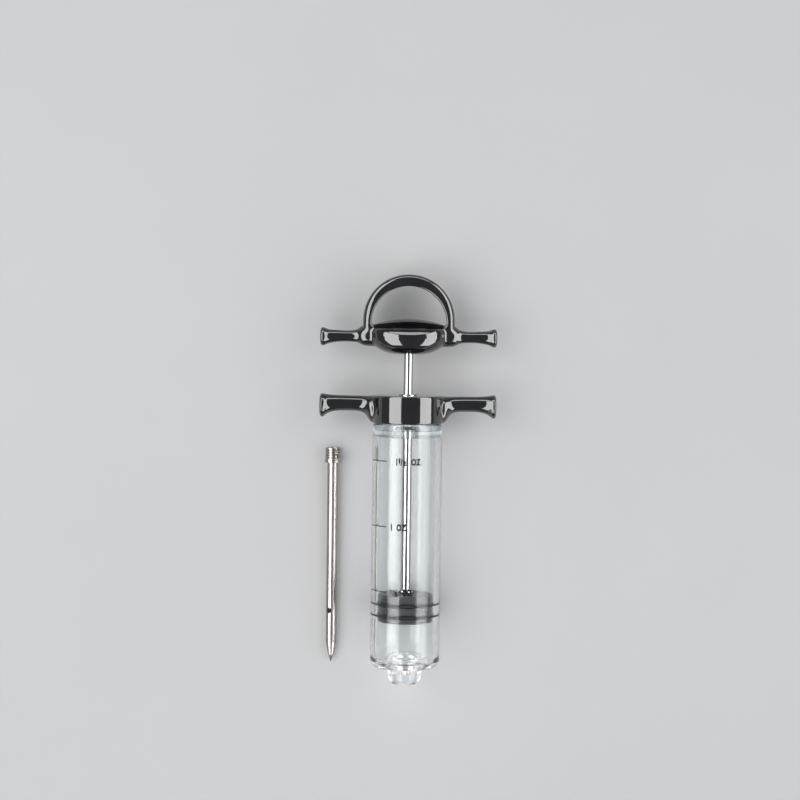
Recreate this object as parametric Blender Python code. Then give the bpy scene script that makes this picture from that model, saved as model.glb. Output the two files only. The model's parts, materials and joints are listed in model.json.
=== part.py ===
"""Meat injector lying on its back, with its needle unscrewed beside it.

Every injector piece is modelled upright about the barrel's axis, in millimetres:
+Z runs from the nozzle to the thumb ring, +X to the right and -Y to the front.
One empty lays that axis down along the world's +Y, so the front faces up.
"""

import math

import bmesh
import bpy
from mathutils import Vector

MM = 0.001
GAP = 0.3

# Barrel: 25.6 mm bore, so 0.5 US fluid ounce fills 28.7 mm of it.
BARREL_R = 15.5
BORE_R = 12.8
NECK_R = 13.8
NECK_TOP = 34.2
SHOULDER_Z = 24.9
FLOOR_Z = -79.3
BASE_Z = -83.2
BASE_CORNER_R = 3.5
BOSS_R = 8.0
BOSS_TOP = -77.5
SPIGOT_HOLE_R = 5.3
RECESS_R = 8.6
RECESS_TOP = -80.6

# Winged cap, its bush, plug, wiper and gasket.
CAP_R = 16.0
CAP_BOTTOM = SHOULDER_Z + GAP
CAP_TOP = 37.6
CAP_PLATE = 2.2
CAP_EDGE_R = 0.6
CAP_PLATE_UNDER = CAP_TOP - CAP_PLATE
SKIRT_R = NECK_R + GAP
BUSH_R = 4.0
BUSH_FLANGE_R = 5.2
BUSH_FLANGE_BOTTOM = 33.9
BUSH_TOP = 38.2
PLUG_R = 12.4
PLUG_INNER_R = 10.9
PLUG_BOTTOM = 19.1
PLUG_FLOOR = 2.9
PLUG_BOSS_R = 5.4
PLUG_BOSS_TOP = 25.0
WIPER_POCKET_R = 4.2

# Plunger rod and piston.
ROD_R = 2.0
ROD_HOLE_R = ROD_R + GAP
ROD_TOP = 66.0
ROD_END_R = 1.7
ROD_END_HOLE_R = ROD_END_R + GAP
ROD_FLANGE_R = 3.6
ROD_FLANGE_HEIGHT = 1.2
PISTON_R = 12.2
PISTON_TOP = -50.5
PISTON_BOTTOM = -62.7
SEAL_LEVELS = {"piston_seal_upper": -54.6, "piston_seal_lower": -59.7}
SEAL_OUTER_R = 12.5
SEAL_SECTION = 1.3
GROOVE_R = 10.9
GROOVE_WIDTH = 1.9
NUT_POCKET_R = 5.2
NUT_POCKET_TOP = -58.2
WASHER_R = 4.6
WASHER_THICKNESS = 0.9
NUT_ACROSS_FLATS = 7.0
NUT_HEIGHT = 2.2

# Nozzle adapter: clear, knurled, with the needle's threaded port inside.
SPIGOT_R = SPIGOT_HOLE_R - GAP
SPIGOT_TOP = -77.7
FLANGE_R = 8.0
FLANGE_TOP = RECESS_TOP - GAP
FLANGE_BOTTOM = -85.8
RIDGE_DEPTH = 0.35
RIDGES = 20
NOZZLE_END = -91.0
NOZZLE_END_R = 4.6
NOZZLE_DOME_R = 7.5
PORT_R = 3.65
PORT_TOP = -83.6
PASSAGE_R = 2.2
RING_GROOVE_R = 7.0
RING_GROOVE_DEPTH = 1.3

# Thumb handle: D-ring, saddle-shaped thumb rest and two wings.
RING_OUTER_R = 20.2
RING_OUTER_Z = 70.8
RING_INNER_R = 16.6
RING_INNER_Z = 69.2
RING_HALF_DEPTH = 7.5
RING_LEG_BOTTOM = 61.4
RING_LEG_CORNER_R = 3.4
RING_ROOT_X = 13.0
RING_ROOT_Z = 65.5
RING_EDGE_R = 1.1
REST_TOP = 71.5
REST_HALF_WIDTH = 17.4
REST_HALF_DEPTH = 13.0
REST_SIDE_DROP = 3.1
REST_FRONT_DROP = 7.4
BOWL_RINGS = ((55.8, 6.5, 6.0), (56.5, 9.8, 8.4), (57.9, 13.0, 10.8), (59.8, 15.6, 12.3), (61.8, 17.2, 12.9))
SOCKET_R = 3.5
SOCKET_TOP = 66.5
INSERT_R = SOCKET_R - GAP
INSERT_BOTTOM = 56.2
INSERT_TOP = 64.2

# Wings: (distance from the axis, centre height, half height) from root to tip.
HANDLE_WING = (
    (14.0, 63.9, 4.4),
    (18.5, 63.8, 3.9),
    (21.5, 63.6, 2.9),
    (26.0, 63.6, 2.45),
    (31.0, 63.6, 2.5),
    (35.0, 63.4, 3.0),
    (37.3, 63.3, 3.9),
    (38.6, 63.3, 3.9),
    (39.3, 63.3, 2.6),
)
CAP_WING = (
    (14.7, 31.6, 5.6),
    (17.5, 32.1, 5.1),
    (20.5, 33.3, 4.0),
    (25.0, 34.1, 3.3),
    (31.0, 34.1, 3.3),
    (35.0, 33.7, 3.9),
    (37.3, 33.1, 4.9),
    (38.6, 33.0, 5.0),
    (39.3, 33.0, 3.3),
)

# Needle: threaded hub, tube with one side hole, solid point.
NEEDLE_X = -33.4
NEEDLE_HUB_TOP_Y = 13.2
HUB_R = 3.5
HUB_ROOT_R = 3.15
HUB_COLLAR_R = 3.6
HUB_COLLAR = 1.2
HUB_LENGTH = 6.7
HUB_THREADS = 5
HUB_MOUTH = 0.5
TUBE_R = 2.4
TUBE_BORE_R = 1.7
TUBE_END = -87.9
POINT_LENGTH = 8.9
POINT_BLUNT_R = 0.15
POINT_SPIGOT = 3.0
SIDE_HOLE_R = 1.25
SIDE_HOLE_FROM_HUB_TOP = 73.6
SIDE_HOLE_TURN = math.radians(-24)

SEGMENTS = 36
SMALL_SEGMENTS = 18
WING_SEGMENTS = 16


def clear_scene():
    for old in list(bpy.data.objects):
        bpy.data.objects.remove(old, do_unlink=True)


def make_material(name, color, roughness, metallic=0.0, transmission=0.0):
    material = bpy.data.materials.new(name)
    material.use_nodes = True
    shader = material.node_tree.nodes["Principled BSDF"]
    shader.inputs["Base Color"].default_value = (*color, 1.0)
    shader.inputs["Roughness"].default_value = roughness
    shader.inputs["Metallic"].default_value = metallic
    shader.inputs["Transmission Weight"].default_value = transmission
    return material


def add_object(name, bm, material, parent):
    """Turn a bmesh in millimetres into one smooth-shaded object in metres."""
    bmesh.ops.scale(bm, vec=(MM, MM, MM), verts=bm.verts)
    bmesh.ops.recalc_face_normals(bm, faces=bm.faces)
    mesh = bpy.data.meshes.new(name)
    bm.to_mesh(mesh)
    bm.free()
    mesh.shade_smooth()
    mesh.set_sharp_from_angle(angle=math.radians(35))
    mesh.materials.append(material)
    item = bpy.data.objects.new(name, mesh)
    item.parent = parent
    bpy.context.collection.objects.link(item)
    return item


def add_axis(name, place, tilt):
    """An empty whose local +Z lies along the world's +Y, raised by tilt."""
    axis = bpy.data.objects.new(name, None)
    axis.location = place
    axis.rotation_euler = (tilt - math.pi / 2, 0.0, 0.0)
    bpy.context.collection.objects.link(axis)
    return axis


def hide_tool(item):
    item.hide_render = True
    item.display_type = "WIRE"
    return item


def combine(item, tool, operation):
    step = item.modifiers.new(tool.name, "BOOLEAN")
    step.operation = operation
    step.solver = "EXACT"
    step.object = tool


def skin(bm, rings, closed):
    """Join rings of equal length with quads; closed joins the last to the first."""
    count = len(rings)
    pairs = count if closed else count - 1
    for index in range(pairs):
        lower = rings[index]
        upper = rings[(index + 1) % count]
        size = len(lower)
        for k in range(size):
            nxt = (k + 1) % size
            bm.faces.new((lower[k], lower[nxt], upper[nxt], upper[k]))
    if not closed:
        bm.faces.new(list(reversed(rings[0])))
        bm.faces.new(rings[-1])


def turned(name, outline, material, parent, segments=SEGMENTS, ridged=(), closed=True):
    """Revolve (radius, z) points about Z; points listed in ridged get knurls."""
    bm = bmesh.new()
    rings = []
    for index, (radius, z) in enumerate(outline):
        ring = []
        for k in range(segments):
            angle = 2 * math.pi * k / segments
            depth = RIDGE_DEPTH if index in ridged and k % 2 else 0.0
            reach = radius - depth
            ring.append(bm.verts.new((reach * math.cos(angle), reach * math.sin(angle), z)))
        rings.append(ring)
    skin(bm, rings, closed)
    return add_object(name, bm, material, parent)


def tube_outline(inner, outer, bottom, top):
    return [(inner, bottom), (outer, bottom), (outer, top), (inner, top)]


def corner(radius, z, bend, start, steps=4):
    """Points of a quarter round about (radius, z), from a start angle in degrees."""
    points = []
    for k in range(steps + 1):
        angle = math.radians(start + 90 * k / steps)
        points.append((radius + bend * math.cos(angle), z + bend * math.sin(angle)))
    return points


def ring_section(inner, outer, bottom, top, steps=6):
    """A ring's oval section, such as an O-ring's."""
    points = []
    for k in range(steps):
        angle = 2 * math.pi * (k + 0.5) / steps
        radius = (inner + outer) / 2 + (outer - inner) / 2 * math.cos(angle)
        points.append((radius, (bottom + top) / 2 + (top - bottom) / 2 * math.sin(angle)))
    return points


def make_barrel(material, axis):
    outline = [(SPIGOT_HOLE_R, RECESS_TOP), (SPIGOT_HOLE_R, BOSS_TOP), (BOSS_R - 0.4, BOSS_TOP)]
    outline += [(BOSS_R, BOSS_TOP - 0.4), (BOSS_R, FLOOR_Z), (BORE_R - 0.8, FLOOR_Z)]
    outline += [(BORE_R, FLOOR_Z + 0.8), (BORE_R, NECK_TOP), (NECK_R, NECK_TOP), (NECK_R, SHOULDER_Z)]
    outline += [(BARREL_R - 0.3, SHOULDER_Z), (BARREL_R, SHOULDER_Z - 0.3)]
    round_r = BARREL_R - BASE_CORNER_R
    outline += list(reversed(corner(round_r, BASE_Z + BASE_CORNER_R, BASE_CORNER_R, 270, 5)))
    outline += [(RECESS_R, BASE_Z), (RECESS_R, RECESS_TOP)]
    return turned("barrel", outline, material, axis)


def make_wing(name, stations, side, material, parent):
    """One spool-shaped wing along X, round in section, with a domed tip."""
    bm = bmesh.new()
    rings = []
    for reach, centre, half in stations:
        ring = []
        for k in range(WING_SEGMENTS):
            angle = 2 * math.pi * k / WING_SEGMENTS
            ring.append(bm.verts.new((side * reach, half * math.cos(angle), centre + half * math.sin(angle))))
        rings.append(ring)
    skin(bm, rings, closed=False)
    return hide_tool(add_object(name, bm, material, parent))


def add_wings(item, stations, material, axis):
    for label, side in (("right", 1), ("left", -1)):
        wing = make_wing(f"{item.name}_{label}_wing_form", stations, side, material, axis)
        combine(item, wing, "UNION")


def make_cap(material, axis):
    edge = CAP_R - CAP_EDGE_R
    outline = [(BUSH_R + GAP, CAP_PLATE_UNDER), (BUSH_R + GAP, CAP_TOP)]
    outline += list(reversed(corner(edge, CAP_TOP - CAP_EDGE_R, CAP_EDGE_R, 0, 3)))
    outline += list(reversed(corner(edge, CAP_BOTTOM + CAP_EDGE_R, CAP_EDGE_R, 270, 3)))
    outline += [(SKIRT_R, CAP_BOTTOM), (SKIRT_R, CAP_PLATE_UNDER)]
    cap = turned("barrel_cap", outline, material, axis)
    add_wings(cap, CAP_WING, material, axis)
    return cap


def make_cap_seals(plastic, rubber, steel, axis):
    pocket_floor = PLUG_BOTTOM + PLUG_FLOOR
    plug = [(ROD_HOLE_R, PLUG_BOTTOM), (PLUG_R - 0.5, PLUG_BOTTOM), (PLUG_R, PLUG_BOTTOM + 0.5)]
    plug += [(PLUG_R, CAP_PLATE_UNDER - GAP), (PLUG_INNER_R, CAP_PLATE_UNDER - GAP)]
    plug += [(PLUG_INNER_R, pocket_floor), (PLUG_BOSS_R, pocket_floor), (PLUG_BOSS_R, PLUG_BOSS_TOP)]
    plug += [(WIPER_POCKET_R, PLUG_BOSS_TOP), (WIPER_POCKET_R, pocket_floor), (ROD_HOLE_R, pocket_floor)]
    turned("rod_guide_plug", plug, plastic, axis)

    wiper = ring_section(ROD_HOLE_R, WIPER_POCKET_R - GAP, pocket_floor + GAP, pocket_floor + 2.0)
    turned("rod_wiper_seal", wiper, rubber, axis, SMALL_SEGMENTS)
    gasket = tube_outline(BORE_R + 0.1, NECK_R + 0.1, NECK_TOP + GAP, CAP_PLATE_UNDER - GAP)
    turned("cap_gasket", gasket, rubber, axis)

    bush = [(ROD_HOLE_R, BUSH_FLANGE_BOTTOM), (BUSH_FLANGE_R, BUSH_FLANGE_BOTTOM)]
    bush += [(BUSH_FLANGE_R, CAP_PLATE_UNDER - GAP), (BUSH_R, CAP_PLATE_UNDER - GAP)]
    bush += [(BUSH_R, BUSH_TOP - 0.3), (BUSH_R - 0.3, BUSH_TOP), (ROD_HOLE_R, BUSH_TOP)]
    turned("rod_guide_bush", bush, steel, axis, SMALL_SEGMENTS)


def make_rod(steel, axis):
    """The rod, its flange on the piston's top and its reduced lower end."""
    nut_bottom = NUT_POCKET_TOP - GAP - WASHER_THICKNESS - GAP - NUT_HEIGHT
    flange_bottom = PISTON_TOP + GAP
    flange_top = flange_bottom + ROD_FLANGE_HEIGHT
    outline = [(ROD_END_R - 0.3, nut_bottom - 0.4), (ROD_END_R, nut_bottom - 0.1), (ROD_END_R, flange_bottom)]
    outline += [(ROD_FLANGE_R, flange_bottom), (ROD_FLANGE_R, flange_top), (ROD_R, flange_top + 0.6)]
    outline += [(ROD_R, ROD_TOP - 0.4), (ROD_R - 0.4, ROD_TOP)]
    turned("plunger_rod", outline, steel, axis, SMALL_SEGMENTS, closed=False)

    washer_top = NUT_POCKET_TOP - GAP
    washer = tube_outline(ROD_END_HOLE_R, WASHER_R, washer_top - WASHER_THICKNESS, washer_top)
    turned("piston_washer", washer, steel, axis, SMALL_SEGMENTS)
    make_nut(nut_bottom, steel, axis)


def make_nut(bottom, steel, axis):
    """Six flats outside, a round hole inside, one vertex column per hole segment."""
    bm = bmesh.new()
    rings = []
    top = bottom + NUT_HEIGHT
    for inside, z in ((True, bottom), (False, bottom), (False, top), (True, top)):
        ring = []
        for k in range(SMALL_SEGMENTS):
            angle = 2 * math.pi * k / SMALL_SEGMENTS
            from_flat = (angle % (math.pi / 3)) - math.pi / 6
            reach = ROD_END_HOLE_R if inside else NUT_ACROSS_FLATS / 2 / math.cos(from_flat)
            ring.append(bm.verts.new((reach * math.cos(angle), reach * math.sin(angle), z)))
        rings.append(ring)
    skin(bm, rings, closed=True)
    return add_object("piston_nut", bm, steel, axis)


def make_piston(plastic, rubber, axis):
    outline = [(ROD_END_HOLE_R, NUT_POCKET_TOP), (ROD_END_HOLE_R, PISTON_TOP), (PISTON_R - 0.5, PISTON_TOP)]
    outline.append((PISTON_R, PISTON_TOP - 0.5))
    for level in SEAL_LEVELS.values():
        for depth, z in ((PISTON_R, 0.5), (GROOVE_R, 0.5), (GROOVE_R, -0.5), (PISTON_R, -0.5)):
            outline.append((depth, level + z * GROOVE_WIDTH))
    outline += [(PISTON_R, PISTON_BOTTOM + 0.5), (PISTON_R - 0.5, PISTON_BOTTOM)]
    outline += [(NUT_POCKET_R, PISTON_BOTTOM), (NUT_POCKET_R, NUT_POCKET_TOP)]
    turned("piston_core", outline, plastic, axis)

    for name, level in SEAL_LEVELS.items():
        half = SEAL_SECTION / 2
        seal = ring_section(SEAL_OUTER_R - SEAL_SECTION, SEAL_OUTER_R, level - half, level + half)
        turned(name, seal, rubber, axis)


def make_nozzle(clear, cream, rubber, axis):
    groove_floor = FLANGE_TOP - RING_GROOVE_DEPTH
    outline = [(PASSAGE_R, PORT_TOP), (PASSAGE_R, SPIGOT_TOP), (SPIGOT_R - 0.4, SPIGOT_TOP)]
    outline += [(SPIGOT_R, SPIGOT_TOP - 0.4), (SPIGOT_R, groove_floor), (RING_GROOVE_R, groove_floor)]
    outline += [(RING_GROOVE_R, FLANGE_TOP), (FLANGE_R, FLANGE_TOP), (FLANGE_R, FLANGE_BOTTOM)]
    ridged = (len(outline) - 2, len(outline) - 1)
    dome_steps = 6
    for k in range(dome_steps + 1):
        angle = math.pi / 2 * k / dome_steps
        radius = NOZZLE_END_R + (NOZZLE_DOME_R - NOZZLE_END_R) * math.cos(angle)
        outline.append((radius, FLANGE_BOTTOM + (NOZZLE_END - FLANGE_BOTTOM) * math.sin(angle)))
    outline += [(PORT_R, NOZZLE_END), (PORT_R, PORT_TOP)]
    turned("nozzle_adapter", outline, clear, axis, 2 * RIDGES, ridged)

    o_ring = ring_section(SPIGOT_R + GAP, RING_GROOVE_R - GAP, groove_floor + GAP, FLANGE_TOP)
    turned("nozzle_gasket", o_ring, rubber, axis)
    washer = tube_outline(PASSAGE_R, PORT_R - GAP, PORT_TOP - GAP - 1.0, PORT_TOP - GAP)
    turned("needle_washer", washer, cream, axis, SMALL_SEGMENTS)


def make_ring_band(material, axis):
    """The D-ring: two arcs of different centres, so its top is thicker than its legs."""
    arc_steps = 20
    outline = []
    for k in range(arc_steps + 1):
        angle = math.pi * k / arc_steps
        outline.append((RING_OUTER_R * math.cos(angle), RING_OUTER_Z + RING_OUTER_R * math.sin(angle)))
    bend = RING_LEG_CORNER_R
    foot = corner(-RING_OUTER_R + bend, RING_LEG_BOTTOM + bend, bend, 180, 3)
    outline += foot + [(-RING_ROOT_X, RING_LEG_BOTTOM), (-RING_ROOT_X, RING_ROOT_Z)]
    for k in range(arc_steps + 1):
        angle = math.pi * (1 - k / arc_steps)
        outline.append((RING_INNER_R * math.cos(angle), RING_INNER_Z + RING_INNER_R * math.sin(angle)))
    outline += [(RING_ROOT_X, RING_ROOT_Z), (RING_ROOT_X, RING_LEG_BOTTOM)]
    outline += [(-x, z) for x, z in reversed(foot)]

    bm = bmesh.new()
    face = bm.faces.new([bm.verts.new((x, -RING_HALF_DEPTH, z)) for x, z in outline])
    made = bmesh.ops.extrude_face_region(bm, geom=[face])
    moved = [part for part in made["geom"] if isinstance(part, bmesh.types.BMVert)]
    bmesh.ops.translate(bm, vec=Vector((0, 2 * RING_HALF_DEPTH, 0)), verts=moved)
    band = add_object("thumb_handle", bm, material, axis)
    rounding = band.modifiers.new("edge_round", "BEVEL")
    rounding.width = RING_EDGE_R * MM
    rounding.segments = 2
    rounding.angle_limit = math.radians(50)
    return band


def make_thumb_bowl(material, axis):
    """A bowl of oval rings whose lip dips to the front, closed by the thumb rest."""
    count = 32
    bm = bmesh.new()
    rings = []
    for z, half_width, half_depth in BOWL_RINGS:
        ring = []
        for k in range(count):
            angle = 2 * math.pi * k / count
            ring.append(bm.verts.new((half_width * math.cos(angle), half_depth * math.sin(angle), z)))
        rings.append(ring)
    for share in (1.0, 0.94, 0.7, 0.45, 0.2):
        lip_round = 0.9 if share == 1.0 else 0.0
        ring = []
        for k in range(count):
            angle = 2 * math.pi * k / count
            across = share * math.cos(angle)
            deep = share * math.sin(angle)
            z = REST_TOP - REST_SIDE_DROP * across ** 2 - REST_FRONT_DROP * deep ** 2 - lip_round
            ring.append(bm.verts.new((REST_HALF_WIDTH * across, REST_HALF_DEPTH * deep, z)))
        rings.append(ring)
    skin(bm, rings, closed=False)
    return hide_tool(add_object("thumb_bowl_form", bm, material, axis))


def make_handle(material, brass, axis):
    handle = make_ring_band(material, axis)
    combine(handle, make_thumb_bowl(material, axis), "UNION")
    add_wings(handle, HANDLE_WING, material, axis)
    socket = [(SOCKET_R, BOWL_RINGS[0][0] - 2), (SOCKET_R, SOCKET_TOP)]
    drill = hide_tool(turned("rod_socket_drill", socket, material, axis, SMALL_SEGMENTS, closed=False))
    combine(handle, drill, "DIFFERENCE")
    insert = tube_outline(ROD_HOLE_R, INSERT_R, INSERT_BOTTOM, INSERT_TOP)
    turned("handle_insert", insert, brass, axis, SMALL_SEGMENTS)


def make_needle(steel):
    """The needle about its own axis, its hub's top at the empty's origin."""
    foot_span = -TUBE_END - HUB_LENGTH
    tilt = math.asin((HUB_COLLAR_R - TUBE_R) / foot_span)
    collar_drop = HUB_LENGTH * math.sin(tilt)
    place = Vector((NEEDLE_X, NEEDLE_HUB_TOP_Y, HUB_COLLAR_R / math.cos(tilt) + collar_drop)) * MM
    axis = add_axis("needle_axis", place, tilt)

    collar_top = HUB_COLLAR - HUB_LENGTH
    hub_bore = TUBE_R + GAP
    outline = [(hub_bore, -HUB_LENGTH), (HUB_COLLAR_R, -HUB_LENGTH), (HUB_COLLAR_R, collar_top)]
    pitch = -collar_top / (HUB_THREADS + 0.5)
    for turn in range(HUB_THREADS):
        root = collar_top + pitch * (turn + 0.3)
        outline += [(HUB_ROOT_R, root), (HUB_R, root + pitch * 0.45), (HUB_R, root + pitch * 0.6)]
    outline += [(HUB_ROOT_R, 0.0), (hub_bore, 0.0)]
    turned("needle_hub", outline, steel, axis, SMALL_SEGMENTS)

    tube_walls = tube_outline(TUBE_BORE_R, TUBE_R, TUBE_END, -HUB_MOUTH)
    tube = turned("needle_tube", tube_walls, steel, axis, SMALL_SEGMENTS)
    drill_outline = [(SIDE_HOLE_R, 0.0), (SIDE_HOLE_R, 2 * TUBE_R)]
    drill = hide_tool(turned("side_hole_drill", drill_outline, steel, axis, 16, closed=False))
    drill.location = (0.0, 0.0, -SIDE_HOLE_FROM_HUB_TOP * MM)
    drill.rotation_euler = (math.pi / 2, 0.0, SIDE_HOLE_TURN)
    combine(tube, drill, "DIFFERENCE")

    shoulder = TUBE_END - GAP
    point = [(POINT_BLUNT_R, shoulder - POINT_LENGTH), (TUBE_R * 0.62, shoulder - POINT_LENGTH * 0.55)]
    point += [(TUBE_R, shoulder), (TUBE_BORE_R - GAP, shoulder), (TUBE_BORE_R - GAP, shoulder + POINT_SPIGOT)]
    turned("needle_tip", point, steel, axis, SMALL_SEGMENTS, closed=False)


def main():
    clear_scene()
    black = make_material("black_gloss", (0.012, 0.012, 0.013), 0.12)
    clear = make_material("clear_plastic", (0.93, 0.95, 0.95), 0.04, transmission=1.0)
    milky = make_material("milky_plastic", (0.82, 0.84, 0.84), 0.35)
    slate = make_material("slate_plastic", (0.055, 0.065, 0.062), 0.4)
    rubber = make_material("black_rubber", (0.018, 0.018, 0.018), 0.6)
    cream = make_material("cream_washer", (0.78, 0.72, 0.56), 0.5)
    chrome = make_material("chromed_steel", (0.78, 0.78, 0.79), 0.08, metallic=1.0)
    steel = make_material("stainless_steel", (0.66, 0.64, 0.62), 0.22, metallic=1.0)
    brass = make_material("brass", (0.72, 0.55, 0.25), 0.3, metallic=1.0)

    axis = add_axis("injector_axis", Vector((0.0, 0.0, CAP_R)) * MM, 0.0)
    make_barrel(clear, axis)
    make_cap(black, axis)
    make_cap_seals(milky, rubber, chrome, axis)
    make_rod(chrome, axis)
    make_piston(slate, rubber, axis)
    make_nozzle(clear, cream, rubber, axis)
    make_handle(black, brass, axis)
    make_needle(steel)


main()
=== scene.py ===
"""Looks for the meat injector: fine meshes, materials, print and light round the CAD frame."""

import json
import math

import bmesh
import bpy
from mathutils import Matrix, Vector


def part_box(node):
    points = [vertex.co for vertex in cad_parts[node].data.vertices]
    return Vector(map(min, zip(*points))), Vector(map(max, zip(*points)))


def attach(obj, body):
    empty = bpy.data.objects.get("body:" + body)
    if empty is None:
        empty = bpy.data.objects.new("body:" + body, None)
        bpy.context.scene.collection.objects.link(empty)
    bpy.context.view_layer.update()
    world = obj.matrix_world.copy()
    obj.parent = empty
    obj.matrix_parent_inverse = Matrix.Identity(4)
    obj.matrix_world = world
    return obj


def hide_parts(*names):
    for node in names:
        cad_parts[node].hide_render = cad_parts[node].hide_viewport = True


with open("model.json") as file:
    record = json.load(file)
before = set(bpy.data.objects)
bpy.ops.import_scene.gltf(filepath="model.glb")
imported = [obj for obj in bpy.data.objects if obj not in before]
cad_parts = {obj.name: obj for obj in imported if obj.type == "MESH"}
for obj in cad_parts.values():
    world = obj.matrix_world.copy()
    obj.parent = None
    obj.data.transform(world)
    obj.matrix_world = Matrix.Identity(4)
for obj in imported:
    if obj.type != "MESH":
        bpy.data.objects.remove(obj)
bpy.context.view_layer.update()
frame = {"nodes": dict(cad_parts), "record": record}

MM = 0.001               # sizes named in capitals are in millimetres
NODES = frame["nodes"]
BODY_OF = {node: body for body, nodes in frame["record"]["behaviour"]["bodies"].items() for node in nodes}
SLOT_OF = {part["node"]: part["material_slot"] for part in frame["record"]["subparts"]}

SAME = 1e-5              # metres; places nearer than this count as one level or one radius
WELD = 1e-6
END_RING = 0.12
SHARP_CORNER = math.radians(25)
SHARP_EDGE = math.radians(35)


# Axes -------------------------------------------------------------------------------------

def barrel_axis():
    """Local +Z runs along the barrel to the thumb ring, local -Y faces up."""
    low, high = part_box("barrel")
    place = Vector(((low.x + high.x) / 2, 0.0, (low.z + high.z) / 2))
    return Matrix.Translation(place) @ Matrix.Rotation(-math.pi / 2, 4, "X")


def end_centre(node, far_end):
    """Centre of the ring of vertices at one end of a turned node, along Y."""
    spots = {tuple(round(value, 6) for value in vertex.co) for vertex in NODES[node].data.vertices}
    limit = max(spot[1] for spot in spots) if far_end else min(spot[1] for spot in spots)
    ring = [Vector(spot) for spot in spots if abs(spot[1] - limit) < END_RING * MM]
    return sum(ring, Vector()) / len(ring)


def needle_axis():
    """Local +Z runs from the point to the hub's mouth, where its origin is."""
    mouth = end_centre("needle_hub", True)
    point = end_centre("needle_tip", False)
    tilt = math.asin((mouth - point).normalized().z)
    return Matrix.Translation(mouth) @ Matrix.Rotation(tilt - math.pi / 2, 4, "X")


BARREL_AXIS = barrel_axis()
NEEDLE_AXIS = needle_axis()


# Mesh tools -------------------------------------------------------------------------------

def section(node, axis):
    """A turned node's outline as (radius, z) points in its axis, and whether it is a ring."""
    bm = bmesh.new()
    bm.from_mesh(NODES[node].data)
    bmesh.ops.remove_doubles(bm, verts=bm.verts, dist=WELD)
    bmesh.ops.transform(bm, matrix=axis.inverted(), verts=bm.verts)
    cut = {vertex for vertex in bm.verts if abs(vertex.co.y) < SAME / 2 and vertex.co.x > 0}
    links = {v: [e.other_vert(v) for e in v.link_edges if e.other_vert(v) in cut] for v in cut}
    ends = [vertex for vertex in cut if len(links[vertex]) == 1]
    start = min(ends or cut, key=lambda vertex: (round(vertex.co.z, 6), vertex.co.x))
    path = [start]
    while True:
        onward = [vertex for vertex in links[path[-1]] if vertex not in path]
        if not onward:
            break
        path.append(onward[0])
    outline = [(vertex.co.x, vertex.co.z) for vertex in path]
    bm.free()
    return outline, not ends


def rounded(outline, ring, bend, steps=4):
    """Replace each sharp corner by a short curve."""
    result = []
    count = len(outline)
    for index, point in enumerate(outline):
        if not ring and index in (0, count - 1):
            result.append(point)
            continue
        here = Vector(point)
        back = Vector(outline[index - 1]) - here
        ahead = Vector(outline[(index + 1) % count]) - here
        if math.pi - back.angle(ahead) < SHARP_CORNER:
            result.append(point)
            continue
        cut = min(bend, 0.45 * back.length, 0.45 * ahead.length)
        first = here + back.normalized() * cut
        last = here + ahead.normalized() * cut
        for k in range(steps + 1):
            share = k / steps
            spot = first.lerp(here, share).lerp(here.lerp(last, share), share)
            result.append((spot.x, spot.y))
    return result


def finely(outline, ring, low, high, step):
    """Add points along the straight walls between two levels, for threads and ridges."""
    result = []
    count = len(outline)
    for index, point in enumerate(outline):
        result.append(point)
        if index == count - 1 and not ring:
            break
        following = outline[(index + 1) % count]
        upright = abs(following[0] - point[0]) < WELD
        inside = min(point[1], following[1]) > low and max(point[1], following[1]) < high
        if upright and inside:
            pieces = max(1, round(abs(following[1] - point[1]) / step))
            for k in range(1, pieces):
                result.append((point[0], point[1] + (following[1] - point[1]) * k / pieces))
    return result


def new_piece(name, bm, smooth=True):
    """An object made of the bmesh, which is used up."""
    bmesh.ops.recalc_face_normals(bm, faces=bm.faces)
    mesh = bpy.data.meshes.new(name)
    bm.to_mesh(mesh)
    bm.free()
    if smooth:
        mesh.shade_smooth()
    piece = bpy.data.objects.new(name, mesh)
    bpy.context.scene.collection.objects.link(piece)
    return piece


def skin(bm, rings, closed):
    """Quads between neighbouring rings of vertices; open ends get a fan to their centre."""
    pairs = list(zip(rings, rings[1:]))
    if closed:
        pairs.append((rings[-1], rings[0]))
    for lower, upper in pairs:
        for k in range(len(lower)):
            nxt = (k + 1) % len(lower)
            bm.faces.new((lower[k], lower[nxt], upper[nxt], upper[k]))
    if not closed:
        for ring in (rings[0], rings[-1]):
            hub = bm.verts.new(sum((vertex.co for vertex in ring), Vector()) / len(ring))
            for k in range(len(ring)):
                bm.faces.new((ring[k], ring[(k + 1) % len(ring)], hub))


def spin(name, outline, ring, axis, segments=128, reach=None):
    """Turn an outline about an axis; reach(radius, z, angle) may shape threads and knurls."""
    bm = bmesh.new()
    rings = []
    for radius, z in outline:
        circle = []
        for k in range(segments):
            angle = 2 * math.pi * k / segments
            at = reach(radius, z, angle) if reach else radius
            circle.append(bm.verts.new(axis @ Vector((at * math.cos(angle), at * math.sin(angle), z))))
        rings.append(circle)
    skin(bm, rings, ring)
    return new_piece(name, bm)


def even_normals(piece):
    """Shade the flat faces flat and keep the change on the rounded edges."""
    modifier = piece.modifiers.new("even_normals", "WEIGHTED_NORMAL")
    modifier.keep_sharp = True
    return piece


def settle(piece):
    """Apply all modifiers, so that the mesh itself holds the shape."""
    depsgraph = bpy.context.evaluated_depsgraph_get()
    mesh = bpy.data.meshes.new_from_object(piece.evaluated_get(depsgraph))
    piece.modifiers.clear()
    piece.data = mesh
    return piece


def cut_away(piece, tool):
    """Take the tool's shape out of the piece; the tool is used up."""
    step = piece.modifiers.new("cut", "BOOLEAN")
    step.operation = "DIFFERENCE"
    step.solver = "EXACT"
    step.object = tool
    settle(piece)
    bpy.data.objects.remove(tool)


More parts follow.
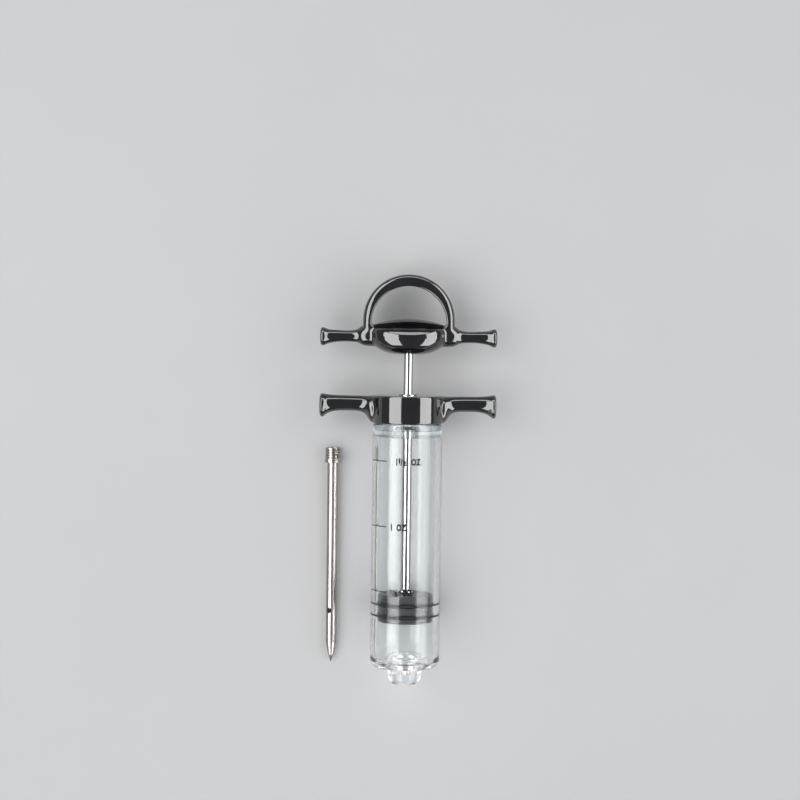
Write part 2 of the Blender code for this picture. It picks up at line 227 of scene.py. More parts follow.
def stands_for(piece, *nodes):
    """The piece takes the place, the body and the finish of CAD nodes."""
    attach(piece, BODY_OF[nodes[0]])
    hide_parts(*nodes)
    piece.data.materials.clear()
    piece.data.materials.append(MATERIALS[SLOT_OF[nodes[0]]])
    return piece


def refine(node, name, bend, axis=BARREL_AXIS, segments=128, fine=None, reach=None):
    """A finer turning of a CAD node: the same outline with soft corners."""
    outline, ring = section(node, axis)
    outline = rounded(outline, ring, bend * MM)
    if fine:
        outline = finely(outline, ring, *fine)
    piece = spin(name, outline, ring, axis, segments, reach)
    return even_normals(piece)


# Materials --------------------------------------------------------------------------------

def node_material(name):
    material = bpy.data.materials.new(name)
    material.use_nodes = True
    return material, material.node_tree, material.node_tree.nodes["Principled BSDF"]


def noise(tree, scale, detail=4.0, stretch=(1.0, 1.0, 1.0), turn=(0.0, 0.0, 0.0)):
    """Noise in object coordinates; scale counts features per metre."""
    coordinates = tree.nodes.new("ShaderNodeTexCoord")
    mapping = tree.nodes.new("ShaderNodeMapping")
    mapping.inputs["Scale"].default_value = stretch
    mapping.inputs["Rotation"].default_value = turn
    texture = tree.nodes.new("ShaderNodeTexNoise")
    texture.inputs["Scale"].default_value = scale
    texture.inputs["Detail"].default_value = detail
    tree.links.new(coordinates.outputs["Object"], mapping.inputs["Vector"])
    tree.links.new(mapping.outputs["Vector"], texture.inputs["Vector"])
    return texture.outputs["Fac"]


def spread(tree, value, low, high, start=0.3, end=0.7):
    """Map a noise value onto a range."""
    node = tree.nodes.new("ShaderNodeMapRange")
    node.inputs["From Min"].default_value = start
    node.inputs["From Max"].default_value = end
    node.inputs["To Min"].default_value = low
    node.inputs["To Max"].default_value = high
    tree.links.new(value, node.inputs["Value"])
    return node.outputs["Result"]


def blend_colors(tree, value, dark, light, start=0.35, end=0.65):
    """Map a value onto the colours from dark to light."""
    ramp = tree.nodes.new("ShaderNodeValToRGB")
    ramp.color_ramp.elements[0].position = start
    ramp.color_ramp.elements[0].color = (*dark, 1.0)
    ramp.color_ramp.elements[1].position = end
    ramp.color_ramp.elements[1].color = (*light, 1.0)
    tree.links.new(value, ramp.inputs["Fac"])
    return ramp.outputs["Color"]


def bump(tree, shader, value, strength, distance):
    node = tree.nodes.new("ShaderNodeBump")
    node.inputs["Strength"].default_value = strength
    node.inputs["Distance"].default_value = distance
    tree.links.new(value, node.inputs["Height"])
    tree.links.new(node.outputs["Normal"], shader.inputs["Normal"])


def surface(name, dark, light, rough, grain, bumps=None, metallic=0.0, stretch=(1.0, 1.0, 1.0), **sockets):
    """A material whose colour and roughness drift with noise, and whose grain is a bump."""
    material, tree, shader = node_material(name)
    drift = noise(tree, grain * 0.2, stretch=stretch)
    fine = noise(tree, grain, stretch=stretch)
    tree.links.new(blend_colors(tree, drift, dark, light), shader.inputs["Base Color"])
    tree.links.new(spread(tree, fine, *rough), shader.inputs["Roughness"])
    shader.inputs["Metallic"].default_value = metallic
    for socket, value in sockets.items():
        shader.inputs[socket.replace("_", " ")].default_value = value
    if bumps:
        bump(tree, shader, noise(tree, grain * 1.7, stretch=stretch), *bumps)
    return material


def clear_surface(name, tint, rough, ior, grain, shade, gloss):
    """Clear moulded plastic: it refracts, and lets light through to what lies under it."""
    material, tree, shader = node_material(name)
    shader.inputs["Base Color"].default_value = (*tint, 1.0)
    shader.inputs["Specular Tint"].default_value = (gloss, gloss, gloss, 1.0)
    shader.inputs["Transmission Weight"].default_value = 1.0
    shader.inputs["IOR"].default_value = ior
    tree.links.new(spread(tree, noise(tree, grain), *rough), shader.inputs["Roughness"])
    bump(tree, shader, noise(tree, grain * 0.3, detail=2.0), 0.05, 0.00004)
    through = tree.nodes.new("ShaderNodeBsdfTransparent")
    through.inputs["Color"].default_value = (*shade, 1.0)
    rays = tree.nodes.new("ShaderNodeLightPath")
    mix = tree.nodes.new("ShaderNodeMixShader")
    tree.links.new(rays.outputs["Is Shadow Ray"], mix.inputs["Fac"])
    tree.links.new(shader.outputs["BSDF"], mix.inputs[1])
    tree.links.new(through.outputs["BSDF"], mix.inputs[2])
    tree.links.new(mix.outputs["Shader"], tree.nodes["Material Output"].inputs["Surface"])
    return material


DRAWN = (40.0, 1.0, 40.0)     # noise drawn out along the length of rods and tubes

MATERIALS = {
    "black_gloss": surface(
        "black_gloss", (0.006, 0.006, 0.007), (0.011, 0.011, 0.012), (0.05, 0.11), 400, (0.04, 0.00003),
        Specular_IOR_Level=0.6, Coat_Weight=0.6, Coat_Roughness=0.03,
    ),
    "clear_plastic": clear_surface(
        "clear_plastic", (0.90, 0.92, 0.925), (0.05, 0.10), 1.5, 700, shade=(0.90, 0.91, 0.92), gloss=0.48,
    ),
    "milky_plastic": clear_surface(
        "milky_plastic", (0.86, 0.88, 0.885), (0.10, 0.20), 1.4, 500, shade=(0.80, 0.82, 0.825), gloss=0.8,
    ),
    "slate_plastic": surface(
        "slate_plastic", (0.034, 0.043, 0.041), (0.053, 0.065, 0.062), (0.3, 0.42), 900, (0.15, 0.00004),
        Specular_IOR_Level=0.35,
    ),
    "black_rubber": surface(
        "black_rubber", (0.010, 0.010, 0.010), (0.020, 0.020, 0.020), (0.55, 0.72), 1500, (0.3, 0.00005),
        Specular_IOR_Level=0.2,
    ),
    "cream_washer": surface(
        "cream_washer", (0.84, 0.77, 0.60), (0.92, 0.87, 0.74), (0.4, 0.55), 900, (0.2, 0.00005),
    ),
    "chromed_steel": surface(
        "chromed_steel", (0.34, 0.34, 0.345), (0.44, 0.44, 0.445), (0.02, 0.06), 60, (0.015, 0.00001),
        metallic=1.0, stretch=DRAWN,
    ),
    "stainless_steel": surface(
        "stainless_steel", (0.30, 0.277, 0.255), (0.38, 0.352, 0.325), (0.23, 0.34), 60, (0.06, 0.00002),
        metallic=1.0, stretch=DRAWN,
    ),
    "brass": surface(
        "brass", (0.58, 0.42, 0.16), (0.76, 0.60, 0.30), (0.2, 0.35), 700, (0.1, 0.00003), metallic=1.0,
    ),
}
INK = surface(
    "printing_ink", (0.004, 0.004, 0.004), (0.010, 0.010, 0.010), (0.5, 0.65), 2500, (0.2, 0.00002),
    Specular_IOR_Level=0.08,
)
FLOOR = surface("pale_floor", (0.80, 0.80, 0.80), (0.82, 0.82, 0.82), (0.9, 1.0), 30, Specular_IOR_Level=0.1)


# Threads ----------------------------------------------------------------------------------

def helix_groove(depth, pitch, low, high, radius):
    """Cut a rounded right-hand thread into the wall of one radius between two levels."""
    def reach(at, z, angle):
        if abs(at - radius) > SAME or not low < z < high:
            return at
        phase = z / pitch - angle / (2 * math.pi)
        wave = 0.5 - 0.5 * math.cos(2 * math.pi * phase)
        fade = min(1.0, (z - low) / (0.5 * pitch), (high - z) / (0.5 * pitch))
        return at - depth * fade * wave ** 1.5
    return reach


# Turned pieces ----------------------------------------------------------------------------

NECK_THREAD = (0.7, 3.0)      # depth and pitch
NECK_MARGINS = (0.6, 0.8)     # plain neck below and above the thread
KNURLS = 48
KNURL_DEPTH = 0.55
KNURL_FADE = 0.25
SQUEEZE = 0.03
WALL_SOFTNESS = 0.4


def make_barrel():
    """The clear barrel with its thread; diffuse rays skip it, so it doesn't darken what lies near."""
    outline, _ = section("barrel", BARREL_AXIS)
    top = max(z for _, z in outline)
    neck = max(radius for radius, z in outline if abs(z - top) < SAME)
    shoulder = max(z for radius, z in outline if radius > neck + 10 * SAME)
    depth, pitch = (value * MM for value in NECK_THREAD)
    below, above = (value * MM for value in NECK_MARGINS)
    reach = helix_groove(depth, pitch, shoulder + below, top - above, neck)
    fine = (shoulder, top, 0.25 * MM)
    barrel = refine("barrel", "clear_barrel", 0.35, segments=144, fine=fine, reach=reach)
    barrel.visible_diffuse = False
    return stands_for(barrel, "barrel")


def make_nozzle():
    """The clear nozzle, whose widest part is knurled up to just under its top edge."""
    outline, _ = section("nozzle_adapter", BARREL_AXIS)
    widest = max(radius for radius, _ in outline)
    flange = [z for radius, z in outline if radius > widest - SAME]
    low, high = min(flange), max(flange)

    def reach(at, z, angle):
        edge = min(1.0, max(0.0, (high - z) / (KNURL_FADE * MM)))
        if at < widest - 0.3 * MM or edge <= 0.0:
            return at
        wave = abs((KNURLS * angle / (2 * math.pi)) % 1.0 - 0.5) * 2
        return at - KNURL_DEPTH * MM * edge * wave

    fine = (low - SAME, high + SAME, 0.3 * MM)
    nozzle = refine("nozzle_adapter", "clear_nozzle", 0.25, segments=KNURLS * 8, fine=fine, reach=reach)
    return stands_for(nozzle, "nozzle_adapter")


def press_outwards(node):
    """Bring a seal's outer wall out to the bore, which it presses on."""
    bore = min(radius for radius, z in section("barrel", BARREL_AXIS)[0] if z > 0.0)
    wall = max(radius for radius, _ in section(node, BARREL_AXIS)[0])

    def reach(at, z, angle):
        share = min(1.0, max(0.0, 2.0 + 2.0 * (at - wall) / (WALL_SOFTNESS * MM)))
        return at + (bore + SQUEEZE * MM - at) * share
    return reach


def make_turned_pieces():
    """Each turned node with its new name, the bend of its corners and whether it seals."""
    for node, name, bend, presses in (
        ("plunger_rod", "chromed_rod", 0.2, False),
        ("piston_core", "piston_body", 0.3, False),
        ("piston_seal_upper", "upper_seal_ring", 0.15, True),
        ("piston_seal_lower", "lower_seal_ring", 0.15, True),
        ("rod_guide_plug", "guide_plug", 0.3, True),
        ("rod_guide_bush", "chromed_bush", 0.25, False),
        ("nozzle_gasket", "nozzle_seal_ring", 0.2, False),
    ):
        reach = press_outwards(node) if presses else None
        stands_for(refine(node, name, bend, segments=96, reach=reach), node)


# Needle -----------------------------------------------------------------------------------

HUB_THREAD = (0.45, 1.15)     # depth and pitch
HUB_MARGINS = (0.1, 0.15)     # plain steel below and above the thread
SIDE_HOLE = 1.25              # radius
DRILL_REACH = 4.0
POINT_GAP = 0.02


def make_hub():
    """The head: a plain collar, and one even crest in place of the CAD's ridges for the thread."""
    outline, _ = section("needle_hub", NEEDLE_AXIS)
    low = min(z for _, z in outline)
    bore = min(radius for radius, _ in outline)
    collar = max(radius for radius, _ in outline)
    crest = sorted({round(radius, 6) for radius, _ in outline})[-2]
    collar_top = max(z for radius, z in outline if radius > collar - SAME)
    fresh = [(bore, low), (collar, low), (collar, collar_top), (crest, collar_top), (crest, 0.0), (bore, 0.0)]
    fresh = rounded(fresh, True, 0.3 * MM)
    fresh = finely(fresh, True, collar_top - WELD, 0.0, 0.08 * MM)
    depth, pitch = (value * MM for value in HUB_THREAD)
    below, above = (value * MM for value in HUB_MARGINS)
    reach = helix_groove(depth, pitch, collar_top + below, -above, crest)
    hub = even_normals(spin("threaded_hub", fresh, True, NEEDLE_AXIS, 72, reach))
    return stands_for(hub, "needle_hub")


def side_hole_place():
    """Centre of the hole's edge in the tube's wall, in the needle's axis."""
    inverse = NEEDLE_AXIS.inverted()
    spots = [inverse @ vertex.co for vertex in NODES["needle_tube"].data.vertices]
    ends = (min(spot.z for spot in spots), max(spot.z for spot in spots))
    edge = [spot for spot in spots if ends[0] + MM < spot.z < ends[1] - MM]
    return sum(edge, Vector()) / len(edge)


def make_tube():
    """The tube, with its side hole drilled through one wall."""
    tube = refine("needle_tube", "steel_tube", 0.12, NEEDLE_AXIS, 96)
    settle(tube)
    centre = side_hole_place()
    outward = Vector((centre.x, centre.y, 0.0)).normalized()
    turn = outward.to_track_quat("Z", "Y").to_matrix().to_4x4()
    frame_of_hole = NEEDLE_AXIS @ Matrix.Translation((0.0, 0.0, centre.z)) @ turn
    drill = [(SIDE_HOLE * MM, 0.0), (SIDE_HOLE * MM, DRILL_REACH * MM)]
    cut_away(tube, spin("drill", drill, False, frame_of_hole, 40))
    tube.data.set_sharp_from_angle(angle=SHARP_EDGE)
    return stands_for(tube, "needle_tube")


def make_point():
    """The solid point, whose shoulder is raised to just under the tube."""
    outline, ring = section("needle_tip", NEEDLE_AXIS)
    tube_end = min(z for _, z in section("needle_tube", NEEDLE_AXIS)[0])
    shoulder = sorted({round(z, 5) for _, z in outline})[-2]
    raised = tube_end - POINT_GAP * MM
    closed = [(radius, raised if abs(z - shoulder) < SAME else z) for radius, z in outline]
    point = spin("steel_point", rounded(closed, ring, 0.25 * MM), ring, NEEDLE_AXIS, 72)
    return stands_for(even_normals(point), "needle_tip")


# Moulded black parts ----------------------------------------------------------------------

VOXEL = 0.32
CAP_ROUNDS = 8                # of smoothing
HANDLE_ROUNDS = 14
ROOT_ROUNDS = 60
ROOT_BORDER = 1.5
ROOT_ACROSS = (11.5, 24.0)
ROOT_ALONG = (58.0, 68.2)
# Each wing's stations: distance from the barrel's axis, level, and half thickness.
HANDLE_WING = (
    (13.0, 63.9, 4.9), (17.0, 64.0, 4.85), (19.6, 64.0, 4.7), (21.0, 63.9, 4.15), (22.2, 63.8, 3.3),
    (23.5, 63.7, 2.8), (25.5, 63.6, 2.55), (28.0, 63.6, 2.5), (31.0, 63.6, 2.65), (35.0, 63.4, 3.1),
    (37.3, 63.3, 4.0), (38.3, 63.3, 4.15), (38.9, 63.3, 3.6), (39.2, 63.3, 2.4), (39.29, 63.3, 1.0),
)
CAP_WING = (
    (14.7, 31.4, 6.0), (16.2, 31.5, 5.9), (17.3, 32.0, 5.25), (18.4, 32.8, 4.4), (19.6, 33.45, 3.8),
    (21.5, 33.8, 3.5), (25.0, 33.95, 3.4), (31.0, 33.95, 3.5), (35.0, 33.6, 4.1), (37.3, 33.0, 5.1),
    (38.3, 32.9, 5.3), (38.9, 32.9, 4.7), (39.2, 32.9, 3.3), (39.29, 32.9, 1.4),
)


def ease(share):
    """Rise smoothly from 0 to 1."""
    share = min(1.0, max(0.0, share))
    return share * share * (3 - 2 * share)


def smooth_through(points, steps):
    """More points along a smooth curve through the given ones."""
    result = []
    count = len(points)
    for index in range(count - 1):
        p0, p1, p2, p3 = (Vector(points[min(max(index + k, 0), count - 1)]) for k in (-1, 0, 1, 2))
        for k in range(steps):
            t = k / steps
            curve = 2 * p1 + (p2 - p0) * t + (2 * p0 - 5 * p1 + 4 * p2 - p3) * t ** 2
            result.append((curve + (3 * p1 - p0 - 3 * p2 + p3) * t ** 3) / 2)
    return result + [Vector(points[-1])]


def make_wing(stations, side, segments=48):
    """A round wing on the side +1 or -1, through the given stations."""
    bm = bmesh.new()
    rings = []
    for reach, centre, half in smooth_through(stations, 5):
        ring = []
        for k in range(segments):
            angle = 2 * math.pi * k / segments
            spot = Vector((side * reach, half * math.cos(angle), centre + half * math.sin(angle))) * MM
            ring.append(bm.verts.new(BARREL_AXIS @ spot))
        rings.append(ring)
    skin(bm, rings, closed=False)
    return new_piece("wing_form", bm)


def mould(name, forms, rounds):
    """Grow overlapping closed forms into one moulding, with soft inside corners."""
    bm = bmesh.new()
    for form in forms:
        bm.from_mesh(form.data)
        bpy.data.objects.remove(form)
    piece = new_piece(name, bm)
    grow = piece.modifiers.new("grow", "REMESH")
    grow.mode = "VOXEL"
    grow.voxel_size = VOXEL * MM
    soften = piece.modifiers.new("soften", "SMOOTH")
    soften.factor = 0.5
    soften.iterations = rounds
    settle(piece)
    piece.data.shade_smooth()
    return piece


def blend_roots(piece):
    """Smooth the handle further where its wings leave it."""
    inverse = BARREL_AXIS.inverted()
    roots = piece.vertex_groups.new(name="roots")
    for vertex in piece.data.vertices:
        spot = inverse @ vertex.co / MM
        inside = min(
            abs(spot.x) - ROOT_ACROSS[0], ROOT_ACROSS[1] - abs(spot.x),
            spot.z - ROOT_ALONG[0], ROOT_ALONG[1] - spot.z,
        )
        if inside > 0:
            roots.add([vertex.index], ease(inside / ROOT_BORDER), "REPLACE")
    soften = piece.modifiers.new("soften_roots", "SMOOTH")
    soften.factor = 0.5
    soften.iterations = ROOT_ROUNDS
    soften.vertex_group = roots.name
    settle(piece)
    piece.vertex_groups.clear()
    piece.data.shade_smooth()
    return piece


def make_cap():
    """The cap's outline is read a quarter turn away from its wings."""
    aside = BARREL_AXIS @ Matrix.Rotation(math.pi / 2, 4, "Z")
    body = settle(refine("barrel_cap", "cap_form", 0.3, aside, 144))
    forms = [body, make_wing(CAP_WING, 1), make_wing(CAP_WING, -1)]
    return stands_for(mould("winged_cap", forms, CAP_ROUNDS), "barrel_cap")


RING_OUTER = (20.2, 70.8)     # radius of the arc, and the level of its centre
RING_INNER = (16.6, 69.2)
RING_HALF_DEPTH = 7.5
BAND_BEND = 2.4
BAND_EDGE = 0.6
LEG_BOTTOM = 61.6
LEG_ROOT = (13.0, 65.0)
LEG_HALF_DEPTH = 4.7
DEPTH_GROWS = (63.5, 84.0)
REST_TOP = 71.5
REST_HALF = (17.4, 13.0)
REST_DROP = (3.1, 7.4)
# The bowl's rings: level, half width and half depth; then the rest's: share of its size, and drop.
BOWL_RINGS = ((55.8, 6.5, 6.0), (56.5, 9.8, 8.4), (57.9, 13.0, 10.8), (59.8, 15.6, 12.3), (61.8, 17.2, 12.9))
REST_RINGS = (
    (1.0, 1.9), (0.985, 1.15), (0.95, 0.5), (0.88, 0.12), (0.78, 0.0), (0.66, 0.0),
    (0.54, 0.0), (0.42, 0.0), (0.3, 0.0), (0.18, 0.0), (0.06, 0.0),
)
SOCKET = (3.5, 66.5)          # radius, and the level of its end


def band_section(inner, outer, half_depth):
    """A cross-section of the D-ring: flat towards the thumb, rounded on its outer side."""
    width = (outer - inner).length
    wide = min(BAND_BEND, 0.85 * width)
    far, near = half_depth - wide, half_depth - BAND_EDGE
    corners = (
        (BAND_EDGE, -near, BAND_EDGE, 180), (width - wide, -far, wide, 270),
        (width - wide, far, wide, 0), (BAND_EDGE, near, BAND_EDGE, 90),
    )
    spots = []
    for across, deep, bend, start in corners:
        for k in range(9):
            angle = math.radians(start + 90 * k / 8)
            place = inner.lerp(outer, (across + bend * math.cos(angle)) / width)
            spots.append(Vector((place.x, deep + bend * math.sin(angle), place.y)) * MM)
    return spots


def half_depth_at(z):
    """The D-ring's half depth, which grows from its legs to its top."""
    low, high = DEPTH_GROWS
    return LEG_HALF_DEPTH + (RING_HALF_DEPTH - LEG_HALF_DEPTH) * ease((z - low) / (high - low))


def leg_station(rise):
    """Inner and outer point of the left leg, and its half depth, from its foot to its arc."""
    outer = Vector((-RING_OUTER[0], LEG_BOTTOM + (RING_OUTER[1] - LEG_BOTTOM) * rise))
    inner_z = LEG_BOTTOM + (RING_INNER[1] - LEG_BOTTOM) * rise
    root = 1 - ease((inner_z - LEG_ROOT[1]) / (RING_INNER[1] - LEG_ROOT[1]))
    inner = Vector((-RING_INNER[0] + (RING_INNER[0] - LEG_ROOT[0]) * root, inner_z))
    return inner, outer, half_depth_at(outer.y)


def make_band(leg_steps=14, arc_steps=72):
    """The D-ring, lofted from foot to foot; it deepens from the wings up to its top."""
    left = [leg_station(k / leg_steps) for k in range(leg_steps)]
    stations = list(left)
    for k in range(arc_steps + 1):
        angle = math.pi * (1 - k / arc_steps)
        direction = Vector((math.cos(angle), math.sin(angle)))
        inner = Vector((0.0, RING_INNER[1])) + direction * RING_INNER[0]
        outer = Vector((0.0, RING_OUTER[1])) + direction * RING_OUTER[0]
        stations.append((inner, outer, half_depth_at(outer.y)))
    for inner, outer, half_depth in reversed(left):
        stations.append((Vector((-inner.x, inner.y)), Vector((-outer.x, outer.y)), half_depth))
    bm = bmesh.new()
    rings = [[bm.verts.new(BARREL_AXIS @ spot) for spot in band_section(*station)] for station in stations]
    skin(bm, rings, closed=False)
    return new_piece("band_form", bm)


def make_bowl(segments=96):
    """Bowl under the thumb rest, whose lip dips to the front and back."""
    angles = [2 * math.pi * k / segments for k in range(segments)]
    circles = []
    for z, half_width, half_depth in smooth_through(BOWL_RINGS, 4):
        circles.append([(half_width * math.cos(angle), half_depth * math.sin(angle), z) for angle in angles])
    for share, lip in REST_RINGS:
        circle = []
        for angle in angles:
            across, deep = share * math.cos(angle), share * math.sin(angle)
            z = REST_TOP - REST_DROP[0] * across ** 2 - REST_DROP[1] * deep ** 2 - lip
            circle.append((REST_HALF[0] * across, REST_HALF[1] * deep, z))
        circles.append(circle)
    bm = bmesh.new()
    rings = [[bm.verts.new(BARREL_AXIS @ (Vector(spot) * MM)) for spot in circle] for circle in circles]
    skin(bm, rings, closed=False)
    return new_piece("bowl_form", bm)


def make_handle():
    """Band, bowl and wings in one moulding, with a socket for the rod."""
    bowl = make_bowl()
    drill = [(SOCKET[0] * MM, (BOWL_RINGS[0][0] - 2) * MM), (SOCKET[0] * MM, SOCKET[1] * MM)]
    cut_away(bowl, spin("drill", drill, False, BARREL_AXIS, 64))
    forms = [bowl, make_band(), make_wing(HANDLE_WING, 1), make_wing(HANDLE_WING, -1)]
    handle = mould("thumb_handle_moulding", forms, HANDLE_ROUNDS)
    return stands_for(blend_roots(handle), "thumb_handle")


# Printed scale ----------------------------------------------------------------------------

PRINT_THICKNESS = 0.02
LETTER_HEIGHT = 3.0
LETTER_NARROWING = 0.7
LETTER_BOLDNESS = 0.2
LETTER_SPACING = 1.12
CAPITAL_SHARE = 0.69          # height of Blender's capitals as a share of the font size
FRACTION_SHARE = 0.75
FRACTION_GAP = 0.6
FRACTION_DROP = 0.2
SLASH_SHARE = 0.9
SLASH_GAP = 0.1
UNIT_GAP = 2.1
UNIT = "OZ"
MARK_PITCH = 28.7
ZERO_FROM_PISTON = -26.5
TEXT_BELOW_MARK = 1.55
TICK_SPAN = (-76, -35)        # degrees from the barrel's top line
TICK_WIDTH = 0.38
TICK_STEPS = 24
PRINT_CUTS = 40
PRINT_CUT_STEP = 0.35
# Each label's start across the barrel, its whole ounces and its fraction.
LABELS = ((-7.0, "", "1/2"), (-7.0, "1", ""), (-4.9, "1", "1/2"))


def wrap(piece, radius):
    """Bend flat print, drawn in the XY plane, onto the barrel's front."""
    for vertex in piece.data.vertices:
        x, z, lift = vertex.co
        angle = x / radius
        at = radius + lift
        vertex.co = BARREL_AXIS @ Vector((at * math.sin(angle), -at * math.cos(angle), z))


def flat_text(words, height, breadth, x, z):
    """A mesh of narrow bold letters whose lower left corner is at x, z, and where it ends."""
    curve = bpy.data.curves.new("print", "FONT")
    curve.body = words
    curve.size = (height - 2 * LETTER_BOLDNESS) / CAPITAL_SHARE * MM
    curve.offset = LETTER_BOLDNESS * MM
    curve.space_character = LETTER_SPACING
    curve.extrude = PRINT_THICKNESS * MM / 2
    text = bpy.data.objects.new("print", curve)
    bpy.context.scene.collection.objects.link(text)
    depsgraph = bpy.context.evaluated_depsgraph_get()
    mesh = bpy.data.meshes.new_from_object(text.evaluated_get(depsgraph))
    bpy.data.objects.remove(text)
    left = min(vertex.co.x for vertex in mesh.vertices)
    mesh.transform(Matrix.Diagonal((breadth, 1.0, 1.0, 1.0)) @ Matrix.Translation((-left, 0.0, 0.0)))
    mesh.transform(Matrix.Translation((x, z + LETTER_BOLDNESS * MM, PRINT_THICKNESS * MM)))
    return mesh, max(vertex.co.x for vertex in mesh.vertices)


def label_parts(whole, part):
    """Each word of a label: its height, breadth, rise above the line and the gap before it."""
    small = LETTER_HEIGHT * FRACTION_SHARE
    parts = []
    if whole:
        parts.append((whole, LETTER_HEIGHT, LETTER_NARROWING, 0.0, 0.0))
    if part:
        upper, lower = part.split("/")
        parts.append((upper, small, 1.0, LETTER_HEIGHT - small, FRACTION_GAP if whole else 0.0))
        parts.append(("/", LETTER_HEIGHT * SLASH_SHARE, LETTER_NARROWING, 0.0, SLASH_GAP))
        parts.append((lower, small, 1.0, -FRACTION_DROP, SLASH_GAP))
    parts.append((UNIT, LETTER_HEIGHT, LETTER_NARROWING, 0.0, UNIT_GAP))
    return parts


def make_tick(bm, z, radius):
    """A thin bar across the print, still flat, in steps that can bend round the barrel."""
    half = TICK_WIDTH * MM / 2
    start, end = (math.radians(angle) * radius for angle in TICK_SPAN)
    low = PRINT_THICKNESS * MM / 2
    high = low * 3
    corners = []
    for k in range(TICK_STEPS + 1):
        x = start + (end - start) * k / TICK_STEPS
        spots = ((x, z - half, low), (x, z + half, low), (x, z + half, high), (x, z - half, high))
        corners.append([bm.verts.new(spot) for spot in spots])
    skin(bm, corners, closed=False)


def make_print():
    """Three marks with their numbers, half an ounce apart, in letters cut fine enough to bend."""
    low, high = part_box("barrel")
    radius = (high.x - low.x) / 2
    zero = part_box("piston_core")[1].y + ZERO_FROM_PISTON * MM
    bm = bmesh.new()
    for index, (start, whole, part) in enumerate(LABELS):
        z = zero + MARK_PITCH * (index + 1) * MM
        make_tick(bm, z, radius)
        x = start * MM
        for words, height, breadth, lift, gap in label_parts(whole, part):
            mesh, x = flat_text(words, height, breadth, x + gap * MM, z + (lift - TEXT_BELOW_MARK) * MM)
            bm.from_mesh(mesh)
    for k in range(PRINT_CUTS):
        cut = Vector((LABELS[0][0] + PRINT_CUT_STEP * k, 0.0, 0.0)) * MM
        everything = bm.verts[:] + bm.edges[:] + bm.faces[:]
        bmesh.ops.bisect_plane(bm, geom=everything, plane_co=cut, plane_no=(1.0, 0.0, 0.0))
    piece = new_piece("printed_scale", bm, smooth=False)
    wrap(piece, radius)
    piece.data.materials.append(INK)
    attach(piece, "barrel")
    return piece


# Small inner nodes ------------------------------------------------------------------------

SMALL_NODES = (
    "handle_insert", "piston_washer", "piston_nut", "rod_wiper_seal", "cap_gasket", "needle_washer",
)


def finish_small_nodes():
    """They keep their CAD shape, and only get their finish and smooth shading."""
    for node in SMALL_NODES:
        mesh = NODES[node].data
        mesh.materials.clear()
        mesh.materials.append(MATERIALS[SLOT_OF[node]])
        mesh.shade_smooth()
        mesh.set_sharp_from_angle(angle=SHARP_EDGE)


# Stage ------------------------------------------------------------------------------------

VIEW_FROM = Vector((-4.0, 66.7, 816.0)) * MM
VIEW_TO = Vector((-3.5, 35.5, 16.0)) * MM
VIEW_ANGLE = 24.98
VIEW_ROLL = 0.74
FLOOR_SIZE = 12.0             # metres, as are the lamps' places and sizes
LAMP_TARGET = Vector((0.0, 0.0, 0.016))
HORIZON = (0.24, 0.24, 0.245)
OVERHEAD = (0.25, 0.255, 0.265)


def make_floor():
    bpy.ops.mesh.primitive_plane_add(size=FLOOR_SIZE, location=(0.0, 0.0, 0.0))
    floor = bpy.context.object
    floor.name = "floor"
    floor.data.materials.append(FLOOR)


def aim(thing, place, target, roll=0.0):
    """Point a lamp or camera at a target, with the thumb ring towards its upper side."""
    back = (place - target).normalized()
    right = Vector((0.0, 1.0, 0.0)).cross(back).normalized()
    turn = Matrix((right, back.cross(right), back)).transposed().to_4x4()
    thing.matrix_world = Matrix.Translation(place) @ turn @ Matrix.Rotation(roll, 4, "Z")


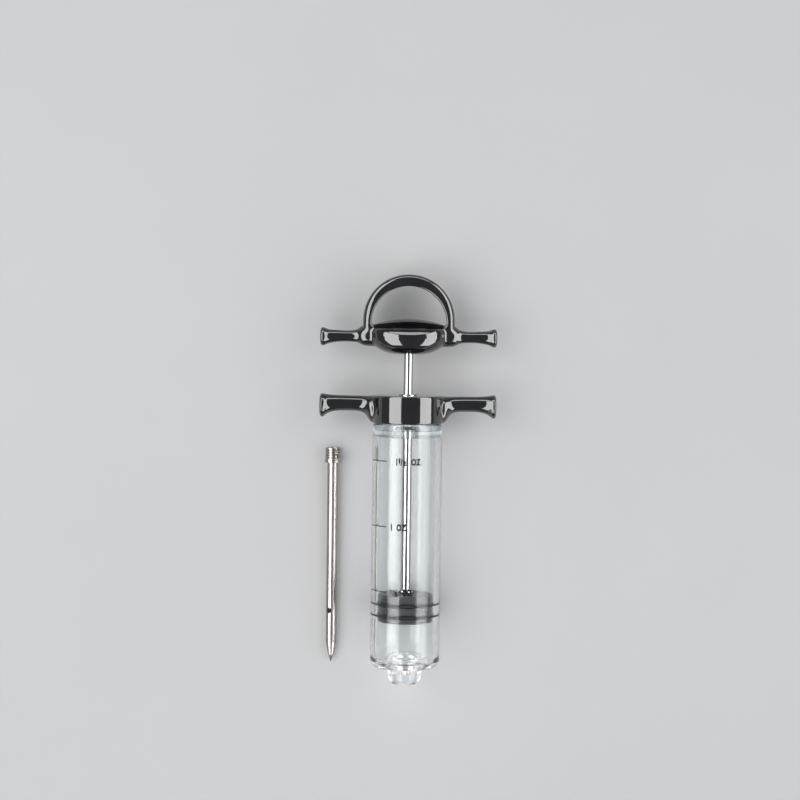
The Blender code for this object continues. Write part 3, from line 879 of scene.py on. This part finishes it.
def make_camera():
    lens = bpy.data.cameras.new("camera")
    lens.angle = math.radians(VIEW_ANGLE)
    lens.clip_start = 0.01
    camera = bpy.data.objects.new("camera", lens)
    bpy.context.scene.collection.objects.link(camera)
    aim(camera, VIEW_FROM, VIEW_TO, math.radians(VIEW_ROLL))
    bpy.context.scene.camera = camera


def make_softbox(name, place, width, length, power, only_shine):
    """A soft lamp aimed at the barrel, seen either only as a gloss or only as light."""
    lamp = bpy.data.lights.new(name, "AREA")
    lamp.shape = "RECTANGLE"
    lamp.size = width
    lamp.size_y = length
    lamp.energy = power
    box = bpy.data.objects.new(name, lamp)
    bpy.context.scene.collection.objects.link(box)
    aim(box, place, LAMP_TARGET)
    if only_shine:
        box.visible_diffuse = False
    else:
        box.visible_glossy = False
        box.visible_transmission = False


def beside(lean, distance):
    """A place over the barrel, lean degrees from straight up towards +X."""
    angle = math.radians(lean)
    return Vector((math.sin(angle), 0.0, math.cos(angle))) * distance


def make_world():
    """A plain studio that is slightly brighter overhead than at the horizon."""
    world = bpy.data.worlds.new("studio")
    world.use_nodes = True
    tree = world.node_tree
    direction = tree.nodes.new("ShaderNodeTexCoord").outputs["Generated"]
    parts = tree.nodes.new("ShaderNodeSeparateXYZ")
    tree.links.new(direction, parts.inputs["Vector"])
    shade = blend_colors(tree, parts.outputs["Z"], HORIZON, OVERHEAD, 0.05, 0.75)
    tree.links.new(shade, tree.nodes["Background"].inputs["Color"])
    tree.nodes["Background"].inputs["Strength"].default_value = 1.0
    bpy.context.scene.world = world


def make_light():
    """Strips beside and above the barrel for its gloss, and two wide lamps for the light."""
    make_softbox("left_strip", beside(-40, 0.85), 0.60, 2.2, 28, True)
    make_softbox("right_strip", beside(58, 0.85), 0.60, 2.2, 28, True)
    make_softbox("top_strip", Vector((0.0, 0.95, 0.40)), 0.9, 0.26, 3.5, True)
    make_softbox("soft_left", beside(-35, 1.3), 1.2, 1.6, 9.5, False)
    make_softbox("soft_right", beside(50, 1.3), 1.2, 1.6, 6.5, False)
    make_world()
    bpy.context.scene.view_settings.view_transform = "Standard"


make_barrel()
make_nozzle()
make_turned_pieces()
make_hub()
make_tube()
make_point()
make_cap()
make_handle()
make_print()
finish_small_nodes()
make_floor()
make_camera()
make_light()
